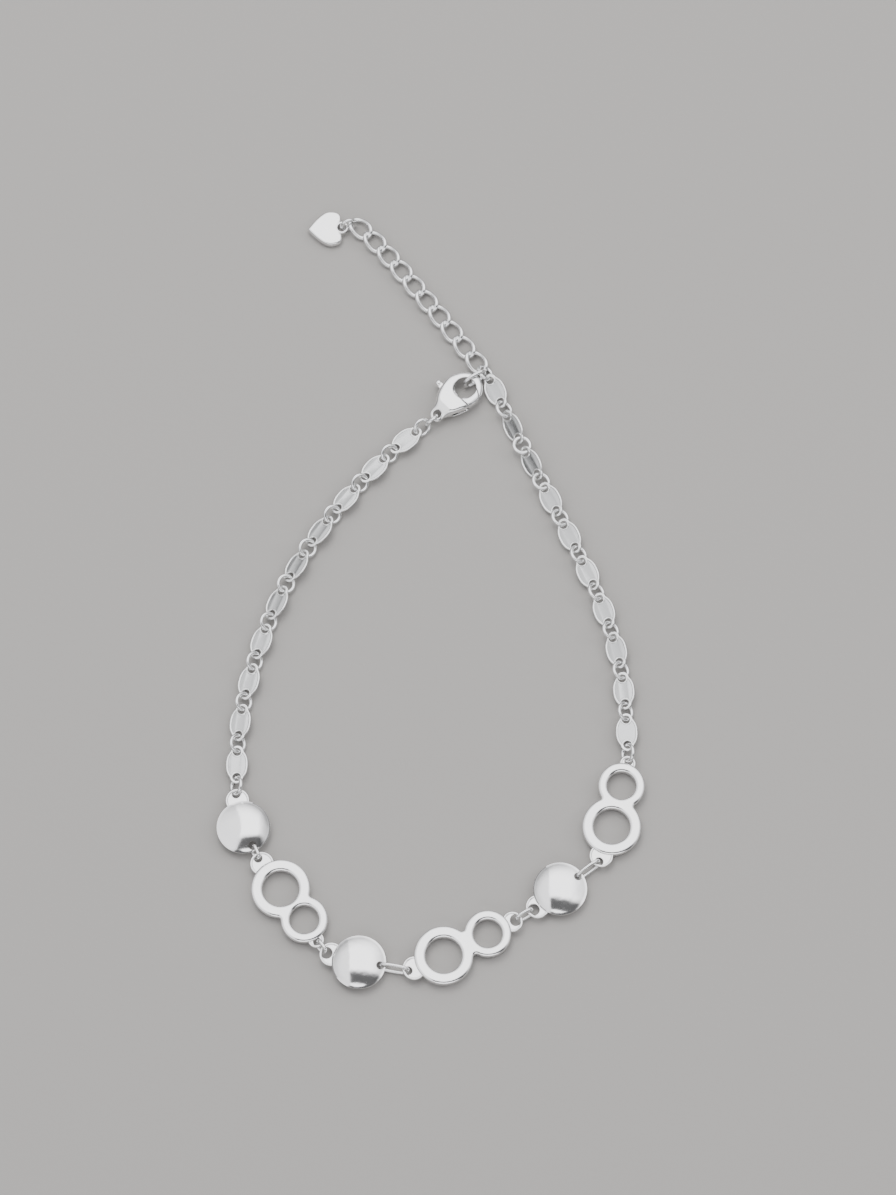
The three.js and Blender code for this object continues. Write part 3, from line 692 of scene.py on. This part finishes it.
# How far in from the edge and how high: the bevel, the upright side, then a smaller bevel underneath
bevelled = [(0.44, top), (0.37, top - 0.01), (0.11, top - 0.125), (0.03, top - 0.21), (0, top - 0.32),
            (0, 0.3), (0.08, 0.1), (0.25, 0)]
for node, row in DOUBLES.items():
    spacing = row["spacing"]
    outline = figure_eight(DOUBLE["large"], DOUBLE["small"], spacing, DOUBLE["fillet"])
    holes = [circle(DOUBLE["large_hole"], steps=72, hole=True),
             circle(DOUBLE["small_hole"], (spacing, 0), steps=60, hole=True)]
    rings = rounded_plate("rings", [outline] + holes, bevelled)
    rings.data.transform(Matrix.Rotation(math.radians(row["heading"]), 4, "Z"))
    ear = ear_cup("ear", (0, 0), row["ear"], DOUBLE["ear_at"], DOUBLE["ear"], DOUBLE["ear_hole_at"],
                  DOUBLE["ear_top"], "small")
    tail = ear_cup("tail", along((0, 0), row["heading"], spacing), top=DOUBLE["ear_top"], **row["tail"])
    finish_piece(join(f"{node}_casting", [rings, ear, tail]), node, CASTING,
                 Matrix.Translation(SHIFT + Vector((*row["at"], 0))), sharp=35)
print("double rings:", len(DOUBLES))

# %% [markdown]
# ## Heart tag
# The heart is drawn with curves and cut as a plate with well rounded edges. Its eyelet sits in the
# notch, and the small jump ring passes through it.

# %% Heart outline
HEART = {"turn": 3, "half_width": 2.95, "length": 5.6, "notch": -0.6, "lobe": 0.0, "thick": 1.35,
         "edge": 0.42, "eyelet": 1.05, "eyelet_hole": 0.68, "eyelet_thick": 0.5, "eyelet_edge": 0.16}


def bezier(a, b, c, d, steps=14):
    """Points along one cubic curve, without the last one."""
    rows = []
    for i in range(steps):
        t = i / steps
        w = ((1 - t) ** 3, 3 * t * (1 - t) ** 2, 3 * t ** 2 * (1 - t), t ** 3)
        rows.append(tuple(sum(k * p[n] for k, p in zip(w, (a, b, c, d))) for n in (0, 1)))
    return rows


def heart_outline():
    """The heart, pointing along -X with its notch near the origin, counter-clockwise."""
    wide, notch, lobe = HEART["half_width"], HEART["notch"], HEART["lobe"]
    tip = lobe - HEART["length"]
    # Each row is one curve: where it starts, its two handles and where it ends
    upper = [
        ((notch, 0), (notch + 0.2, wide * 0.3), (lobe, wide * 0.3), (lobe, wide * 0.55)),
        ((lobe, wide * 0.55), (lobe, wide * 0.95), (lobe - 1.1, wide), (lobe - 1.9, wide)),
        ((lobe - 1.9, wide), (lobe - 3.1, wide), (tip + 0.9, wide * 0.4), (tip, 0)),
    ]
    lower = [tuple((x, -y) for x, y in reversed(row)) for row in reversed(upper)]
    return [point for row in upper + lower for point in bezier(*row)]


print("points round the heart:", len(heart_outline()))

# %% Heart
# The tag ring passes through the first curb link, and the eyelet hangs on the ring's far side
first_heading = heading_to(joints[0], joints[1])
inside = along(joints[0], first_heading, CURB["wire"] + JUMP_RINGS["tag_ring"] + CURB["gap"] - spare)
eyelet_at = along(inside, TAG_RING["heading"], -2 * TAG_RING["radius"])

thick = HEART["thick"]
heart = rounded_plate("heart", [heart_outline()], rounded_edge(0, thick, HEART["edge"], steps=7))
eyelet = rounded_plate("eyelet", [circle(HEART["eyelet"]), circle(HEART["eyelet_hole"], steps=32, hole=True)],
                       rounded_edge(thick - HEART["eyelet_thick"], thick, HEART["eyelet_edge"]))
cut(heart, drill(HEART["eyelet_hole"], half=4))
finish_piece(join("heart_plate", [heart, eyelet]), "heart_tag", CASTING,
             Matrix.Translation(SHIFT + Vector((*eyelet_at, 0)))
             @ Matrix.Rotation(math.radians(HEART["turn"]), 4, "Z"), sharp=40)
print("the heart's eyelet is drawn at", [round(float(c), 3) for c in eyelet_at])

# %% [markdown]
# ## Lobster clasp
# The clasp is a soft, rounded casting that thins towards its tip and towards the jump ring's eye. A
# plate is cut to the clasp's outline, thinned, then cut by the eye, the slot for the lever and the
# gate. It is rebuilt from tiny cubes and smoothed, as a polishing drum rounds a casting. The lever is
# made the same way from what lies on the gate's side, and rides on its own body, because it swings.

# %% Clasp sizes
# Along the clasp's own axis: u from the jump ring's eye to the tip, v to its left. An eye is (u, v, radius)
CLASP = {"at": (-1.78, 30.1, 1.52), "heading": 44, "thick": 2.8, "tip_thick": 1.5, "eye_thick": 0.9,
         "edge": 0.75, "crown": 0.62, "eye": (6.6, 0.2, 1.75), "eye_flare": 1.1, "eye_half": 1.9,
         "ring_eye": (0.2, 0.2, 0.68), "pivot": (3.6, 0.2), "pin": 0.32, "pin_half": 0.6, "slot": 0.48}
CLASP_OUTLINE = [
    (-1.0, 0.2), (-0.5, -0.8), (0.8, -1.0), (2.4, -1.85), (4.2, -2.5), (6.2, -2.75), (7.9, -2.3), (9.2, -0.9),
    (9.4, 0.7), (8.3, 2.4), (6.6, 3.35), (5.0, 3.4), (3.0, 2.85), (1.1, 1.75), (-0.4, 1.2),
]
CLASP_SLOT = [(2.1, -4), (4.95, -4), (5.4, 0), (5.0, 2.0), (5.05, 4.5), (2.1, 4.5), (1.9, 0.5)]
# Where the thickness changes: towards the tip, and towards the jump ring's eye
TIP_TAPER = (3.5, 8.5)
EYE_TAPER = (-2.4, 0.2)
LEVER = {"half_thick": 0.38, "hub": 0.95, "pin_hole": 0.44, "eye_clearance": 0.04,
         "thumb": (4.15, 3.95, 0.62)}
LEVER_WEB = [(3.0, -0.4), (3.3, -1.5), (4.2, -2.1), (5.2, -1.9), (5.0, -0.7), (4.3, 0.1)]
LEVER_STEM = [(3.0, 0.5), (4.3, 0.3), (4.5, 2.6), (4.6, 3.7), (3.7, 3.8), (3.5, 2.6)]
# The gate's cutter: how far it reaches outside, how wide it is at the eye, and its arc about the pin
GATE = {"outside": -4.2, "eye_half_width": 1.2, "eye_drop": 0.4, "arc_start": -8, "arc_step": 7.5,
        "arc_points": 9, "half_height": 3}
COARSE_CUBE = 0.12
FINE_CUBE = 0.08
print("clasp length in its outline:", CLASP_OUTLINE[8][0] - CLASP_OUTLINE[0][0], "mm")

# %% Smooth curves and rebuilding
def smooth_curve(corners, steps=8):
    """A closed curve through the corners (Catmull-Rom)."""
    p = np.array(corners, dtype=float)
    before, after, later = np.roll(p, 1, axis=0), np.roll(p, -1, axis=0), np.roll(p, -2, axis=0)
    rows = []
    for i in range(len(p)):
        for t in np.arange(steps) / steps:
            rows.append(tuple(0.5 * (2 * p[i] + (after[i] - before[i]) * t
                                     + (2 * before[i] - 5 * p[i] + 4 * after[i] - later[i]) * t ** 2
                                     + (3 * p[i] - before[i] - 3 * after[i] + later[i]) * t ** 3)))
    return rows


def smoothstep(value, low, high):
    """0 below the low limit, 1 above the high one, and a smooth change between them."""
    t = min(max((value - low) / (high - low), 0.0), 1.0)
    return t * t * (3 - 2 * t)


def rebuild(piece, cube, passes):
    """Rebuilds a piece from tiny cubes, which also merges its parts, and smooths it."""
    remesh = piece.modifiers.new("tiny cubes", "REMESH")
    remesh.mode = "VOXEL"
    remesh.voxel_size = cube
    polish = piece.modifiers.new("polish", "SMOOTH")
    polish.factor = 0.5
    polish.iterations = passes
    apply_modifiers(piece)
    return piece


print("points round the clasp:", len(smooth_curve(CLASP_OUTLINE)))

# %% Clasp blank and cutters
def slab(name, corners, half):
    """A plain plate between two heights, from counter-clockwise corners."""
    return rounded_plate(name, [corners], [(0, half), (0, -half)])


def clasp_blank(name):
    """The whole clasp before any cut: rounded edges, then thinned towards both ends."""
    thick, edge = CLASP["thick"], CLASP["edge"]
    turns = [i / 6 * math.pi / 2 for i in range(7)]
    top = [(edge * (1 - math.sin(t)), thick / 2 * (1 - CLASP["crown"] * (1 - math.cos(t)))) for t in turns]
    blank = rounded_plate(name, [smooth_curve(CLASP_OUTLINE)], top + [(i, -h) for i, h in reversed(top)])
    rebuild(blank, COARSE_CUBE, 4)
    for vertex in blank.data.vertices:
        u = vertex.co.x
        here = thick + (CLASP["tip_thick"] - thick) * smoothstep(u, *TIP_TAPER)
        here += (CLASP["eye_thick"] - here) * smoothstep(-u, *EYE_TAPER)
        vertex.co.z *= here / thick
    return blank


def eye_drill(extra=0.0):
    """The cutter of the clasp's eye, flared at the top and at the bottom."""
    u, v, radius = CLASP["eye"]
    return drill(radius + extra, (u, v), flare=CLASP["eye_flare"], half=CLASP["eye_half"], sides=64)


def gate(reach, start, rise):
    """A cutter for the gate's side of the eye, out to a distance from the lever's pin."""
    (eye_u, eye_v, _), pivot, half = CLASP["eye"], CLASP["pivot"], GATE["eye_half_width"]
    corners = [(start + 0.1, GATE["outside"]), (start, pivot[1] + rise),
               (eye_u - half, eye_v + rise), (eye_u + half, eye_v - GATE["eye_drop"])]
    headings = [GATE["arc_start"] - i * GATE["arc_step"] for i in range(GATE["arc_points"])]
    corners += [along(pivot, heading, reach) for heading in headings]
    return slab("gate", corners[::-1], GATE["half_height"])


# %% Clasp body
clasp_place = (Matrix.Translation(SHIFT + Vector(CLASP["at"]))
               @ Matrix.Rotation(math.radians(CLASP["heading"]), 4, "Z"))
ring_u, ring_v, ring_radius = CLASP["ring_eye"]
body = cut(clasp_blank("clasp_body_casting"), eye_drill(), drill(ring_radius, (ring_u, ring_v)),
           slab("slot", CLASP_SLOT, CLASP["slot"]), gate(reach=4.42, start=4.58, rise=-0.3))
pin_half = CLASP["pin_half"]
pin = lathe("pin", [(0, -pin_half), (CLASP["pin"], -pin_half), (CLASP["pin"], pin_half), (0, pin_half)], 32)
pin.data.transform(Matrix.Translation((*CLASP["pivot"], 0)))
body = rebuild(join("clasp_body_casting", [body, pin]), FINE_CUBE, 7)
finish_piece(body, "clasp_body", CASTING, clasp_place, sharp=80)
print("clasp body faces:", len(body.data.polygons))

# %% Clasp lever
# The lever's arm stops 0.12 mm short of the body's gate, so that it can swing
arm = cut(clasp_blank("arm"), gate(reach=4.3, start=4.7, rise=-1.0), keep="INTERSECT")
cut(arm, eye_drill(LEVER["eye_clearance"]))
hub = slab("hub", circle(LEVER["hub"], CLASP["pivot"]), LEVER["half_thick"])
web, stem = (slab("web", shape, LEVER["half_thick"]) for shape in (LEVER_WEB, LEVER_STEM))
u, v, radius = LEVER["thumb"]
half_turn = [i / 12 * math.pi for i in range(13)]
thumb = lathe("thumb", [(radius * math.sin(angle), -radius * math.cos(angle)) for angle in half_turn], 32)
thumb.data.transform(Matrix.Translation((u, v, 0)))
lever = rebuild(join("lever_casting", [arm, hub, web, stem, thumb]), FINE_CUBE, 5)
cut(lever, drill(LEVER["pin_hole"], CLASP["pivot"]))
finish_piece(lever, "clasp_lever", CASTING, clasp_place, body="lever", sharp=80)
print("lever faces:", len(lever.data.polygons))

# %% [markdown]
# ## Floor
# The anklet lies on a sheet of pale matt paper, far larger than the picture. It sits 0.02 mm below the
# metal, so the two never share a face. Paper grain of about a millimetre is only felt, not seen.

# %% Floor
FLOOR_HALF = 3
FLOOR_DROP = 0.02 * MM
GRAINS_PER_METRE = 900.0

corners = [(-FLOOR_HALF, -FLOOR_HALF, 0), (FLOOR_HALF, -FLOOR_HALF, 0), (FLOOR_HALF, FLOOR_HALF, 0),
           (-FLOOR_HALF, FLOOR_HALF, 0)]
floor_mesh = bpy.data.meshes.new("floor")
floor_mesh.from_pydata(corners, [], [(0, 1, 2, 3)])
floor = bpy.data.objects.new("floor", floor_mesh)
floor.location.z = -FLOOR_DROP
bpy.context.scene.collection.objects.link(floor)
paper = bpy.data.materials.new("matt paper floor")
paper.use_nodes = True
tree = paper.node_tree
tree.nodes.clear()
grain = add_node(tree, "ShaderNodeTexNoise", {"Scale": GRAINS_PER_METRE, "Detail": 4.0},
                 {"Vector": add_node(tree, "ShaderNodeTexCoord").outputs["Object"]})
soft = add_node(tree, "ShaderNodeBump", {"Strength": 0.15, "Distance": 0.2 * MM},
                {"Height": grain.outputs["Fac"]})
# Matt paper spreads light evenly. This grey comes out pale under light bright enough for the metal
matt = add_node(tree, "ShaderNodeBsdfPrincipled", {"Base Color": linear("#8c8a88"), "Roughness": 0.9},
                {"Normal": soft.outputs["Normal"]})
add_node(tree, "ShaderNodeOutputMaterial", None, {"Surface": matt.outputs["BSDF"]})
floor_mesh.materials.append(paper)
print("floor laid:", 2 * FLOOR_HALF, "m across")

# %% [markdown]
# ## Surroundings and lamps
# Polished silver shows its surroundings, so the light is really a choice of what it reflects. A soft
# ceiling, brighter overhead and dim near the horizon, fills the flat tops and leaves the sides of the
# wires darker. A wide dark strip a little south of overhead is what the domes mirror as a dark patch,
# and greyer walls west and east end their bright bands. Two lamps add soft shadows, and the metal
# doesn't mirror them.

# %% Studio surroundings
# Each row is a change along x (east), y (north) or z (up): between two limits, from one value to another
CEILING = dict(low=0.08, high=0.78, at_low=0.30, at_high=3.1)
WEST_WALL = dict(low=-0.36, high=-0.30, at_low=0.62, at_high=1.0)
EAST_WALL = dict(low=0.45, high=0.8, at_low=1.0, at_high=0.55)
STRIP_NORTH = dict(low=-0.38, high=-0.04, at_low=1, at_high=0)
STRIP_SOUTH = dict(low=-0.70, high=-0.62, at_low=0, at_high=1)
STRIP_WEST = dict(low=-0.40, high=-0.26, at_low=0, at_high=1)
STRIP_EAST = dict(low=0.6, high=0.95, at_low=1, at_high=0)
STRIP_LIGHT = dict(low=0.0, high=1.0, at_low=1.0, at_high=0.05)

world = bpy.data.worlds.new("studio")
bpy.context.scene.world = world
world.use_nodes = True
tree = world.node_tree
tree.nodes.clear()


def band(axis, low, high, at_low, at_high):
    """A value that changes smoothly between two limits of one direction's component."""
    limits = {"From Min": low, "From Max": high, "To Min": at_low, "To Max": at_high}
    settings = {**limits, "interpolation_type": "SMOOTHSTEP"}
    return add_node(tree, "ShaderNodeMapRange", settings, {"Value": axis}).outputs["Result"]


def times(a, b):
    """The product of two values."""
    node = add_node(tree, "ShaderNodeMath", {"operation": "MULTIPLY"})
    tree.links.new(a, node.inputs[0])
    tree.links.new(b, node.inputs[1])
    return node.outputs[0]


look = add_node(tree, "ShaderNodeTexCoord").outputs["Generated"]
direction = add_node(tree, "ShaderNodeSeparateXYZ", None, {"Vector": look})
x, y, z = (direction.outputs[axis] for axis in "XYZ")
walls = times(band(x, **WEST_WALL), band(x, **EAST_WALL))
strip = times(times(band(y, **STRIP_NORTH), band(y, **STRIP_SOUTH)),
              times(band(x, **STRIP_WEST), band(x, **STRIP_EAST)))
level = times(times(band(z, **CEILING), walls), band(strip, **STRIP_LIGHT))
air = add_node(tree, "ShaderNodeBackground", {"Color": linear("#fbfbfd")}, {"Strength": level})
add_node(tree, "ShaderNodeOutputWorld", None, {"Surface": air.outputs["Background"]})
print("world nodes:", len(tree.nodes))

# %% Lamps
# Places and sizes in metres, power in watts
LAMPS = {
    "north softbox": dict(at=(-0.12, 0.25, 0.62), size=0.34, power=3.0),
    "east strip": dict(at=(0.55, 0.1, 0.35), size=0.2, power=1.0),
}
for name, row in LAMPS.items():
    lamp = bpy.data.lights.new(name, "AREA")
    lamp.size = row["size"]
    lamp.energy = row["power"]
    lamp.color = linear("#fffefa")[:3]
    holder = bpy.data.objects.new(name, lamp)
    holder.location = row["at"]
    holder.rotation_euler = (-Vector(row["at"])).to_track_quat("-Z", "Y").to_euler()
    holder.visible_glossy = False
    bpy.context.scene.collection.objects.link(holder)
print("lamps:", list(LAMPS))

# %% [markdown]
# ## Camera
# The camera looks down at 73 degrees through a long lens, from 717 mm away. A 36 mm high sensor behind
# a 135 mm lens then covers 191 mm across the middle of the picture, top to bottom.

# %% Camera
ELEVATION = math.radians(73)
DISTANCE = 717 * MM
LENS = 135
SENSOR_HEIGHT = 36
NEAREST = 0.01

view = bpy.data.cameras.new("camera")
view.lens = LENS
view.sensor_fit = "VERTICAL"
view.sensor_height = SENSOR_HEIGHT
view.clip_start = NEAREST
camera = bpy.data.objects.new("camera", view)
back = Vector((0, -math.cos(ELEVATION), math.sin(ELEVATION)))
camera.location = SHIFT * MM + back * DISTANCE
camera.rotation_euler = (-back).to_track_quat("-Z", "Y").to_euler()
bpy.context.scene.collection.objects.link(camera)
bpy.context.scene.camera = camera
print("camera at", [round(c, 3) for c in camera.location])
